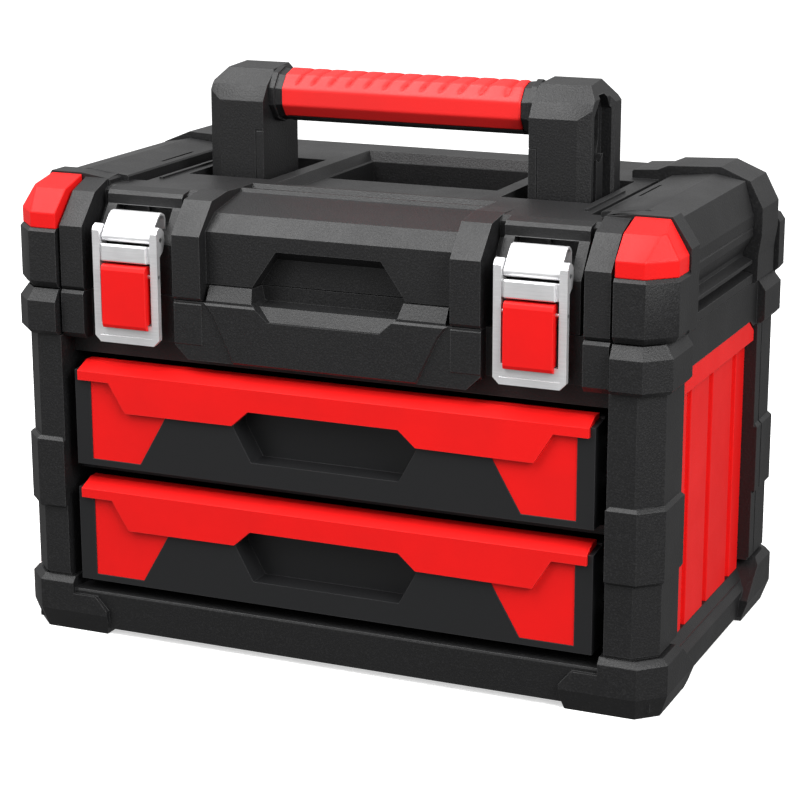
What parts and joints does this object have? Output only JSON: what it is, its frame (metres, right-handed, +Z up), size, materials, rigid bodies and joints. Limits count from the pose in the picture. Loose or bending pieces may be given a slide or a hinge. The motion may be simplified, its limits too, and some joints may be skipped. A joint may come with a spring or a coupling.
{
  "type": "portable tool box with drawers",
  "caption": "Portable plastic tool box with a latched lid over a top compartment, pull-out drawers, corner guards and a carry handle.",
  "frame": {"origin": "on the floor, in the middle of the box's footprint", "axes": "+X to the right side as seen from the front, -Y out of the front where the drawers open, +Z up"},
  "size_m": [0.441, 0.264, 0.3615],
  "materials": {
    "black_plastic": "fine grained, matt",
    "fascia_plastic": "smooth satin",
    "tray_plastic": "matt",
    "red_plastic": "satin",
    "grip_rubber": "soft satin",
    "latch_steel": "satin plated",
    "rail_steel": "zinc plated",
    "zinc_steel": "zinc plated"
  },
  "bodies": {
    "cabinet": {"back_panel": "black_plastic", "base_plinth": "black_plastic", "column_front_left": "black_plastic", "column_front_right": "black_plastic", "column_rear_left": "black_plastic", "column_rear_right": "black_plastic", "drawer_divider": "black_plastic", "hinge_pin_left": "zinc_steel", "hinge_pin_right": "zinc_steel", "latch_keeper_left": "zinc_steel", "latch_keeper_right": "zinc_steel", "side_panel_left": "red_plastic", "side_panel_right": "red_plastic", "side_wall_left": "black_plastic", "side_wall_right": "black_plastic", "slide_fixed_lower_left": "rail_steel", "slide_fixed_lower_right": "rail_steel", "slide_fixed_upper_left": "rail_steel", "slide_fixed_upper_right": "rail_steel", "upper_tub": "black_plastic"},
    "lid": {"corner_cap_left": "red_plastic", "corner_cap_right": "red_plastic", "grip_core": "black_plastic", "grip_sleeve": "grip_rubber", "handle_post_left": "black_plastic", "handle_post_right": "black_plastic", "handle_screws": "zinc_steel", "latch_hook_plate_left": "latch_steel", "latch_hook_plate_right": "latch_steel", "lid_shell": "black_plastic"},
    "latch_left": {"latch_bridge_left": "latch_steel", "latch_frame_left": "latch_steel", "latch_pin_left": "zinc_steel", "lever_pin_left": "zinc_steel"},
    "latch_right": {"latch_bridge_right": "latch_steel", "latch_frame_right": "latch_steel", "latch_pin_right": "zinc_steel", "lever_pin_right": "zinc_steel"},
    "lever_left": {"latch_lever_left": "red_plastic"},
    "lever_right": {"latch_lever_right": "red_plastic"},
    "drawer_lower": {"drawer_front_lower": "fascia_plastic", "drawer_screws_lower": "zinc_steel", "drawer_tray_lower": "tray_plastic", "drawer_trim_lower": "red_plastic", "slide_drawer_lower_left": "rail_steel", "slide_drawer_lower_right": "rail_steel"},
    "drawer_upper": {"drawer_front_upper": "fascia_plastic", "drawer_screws_upper": "zinc_steel", "drawer_tray_upper": "tray_plastic", "drawer_trim_upper": "red_plastic", "slide_drawer_upper_left": "rail_steel", "slide_drawer_upper_right": "rail_steel"},
    "slides_lower": {"slide_middle_lower_left": "rail_steel", "slide_middle_lower_right": "rail_steel"},
    "slides_upper": {"slide_middle_upper_left": "rail_steel", "slide_middle_upper_right": "rail_steel"}
  },
  "joints": [
    {"name": "lid_hinge", "type": "hinge", "parent": "cabinet", "child": "lid", "pos_m": [0, 0.128, 0.23], "axis": [-1, 0, 0], "range_deg": [0, 95]},
    {"name": "latch_swing_left", "type": "hinge", "parent": "lid", "child": "latch_left", "pos_m": [-0.135, -0.1234, 0.2665], "axis": [-1, 0, 0], "range_deg": [0, 100]},
    {"name": "lever_lift_left", "type": "hinge", "parent": "latch_left", "child": "lever_left", "pos_m": [-0.135, -0.1267, 0.2435], "axis": [-1, 0, 0], "range_deg": [0, 25]},
    {"name": "latch_swing_right", "type": "hinge", "parent": "lid", "child": "latch_right", "pos_m": [0.135, -0.1234, 0.2665], "axis": [-1, 0, 0], "range_deg": [0, 100]},
    {"name": "lever_lift_right", "type": "hinge", "parent": "latch_right", "child": "lever_right", "pos_m": [0.135, -0.1267, 0.2435], "axis": [-1, 0, 0], "range_deg": [0, 25]},
    {"name": "drawer_slide_lower", "type": "slide", "parent": "cabinet", "child": "drawer_lower", "axis": [0, -1, 0], "range_m": [0, 0.165]},
    {"name": "middle_slide_lower", "type": "slide", "parent": "cabinet", "child": "slides_lower", "axis": [0, -1, 0], "range_m": [0, 0.0825]},
    {"name": "drawer_slide_upper", "type": "slide", "parent": "cabinet", "child": "drawer_upper", "axis": [0, -1, 0], "range_m": [0, 0.165]},
    {"name": "middle_slide_upper", "type": "slide", "parent": "cabinet", "child": "slides_upper", "axis": [0, -1, 0], "range_m": [0, 0.0825]}
  ],
  "couplings": [
    {"joint": "middle_slide_lower", "follows": "drawer_slide_lower", "ratio": 0.5},
    {"joint": "middle_slide_upper", "follows": "drawer_slide_upper", "ratio": 0.5}
  ]
}
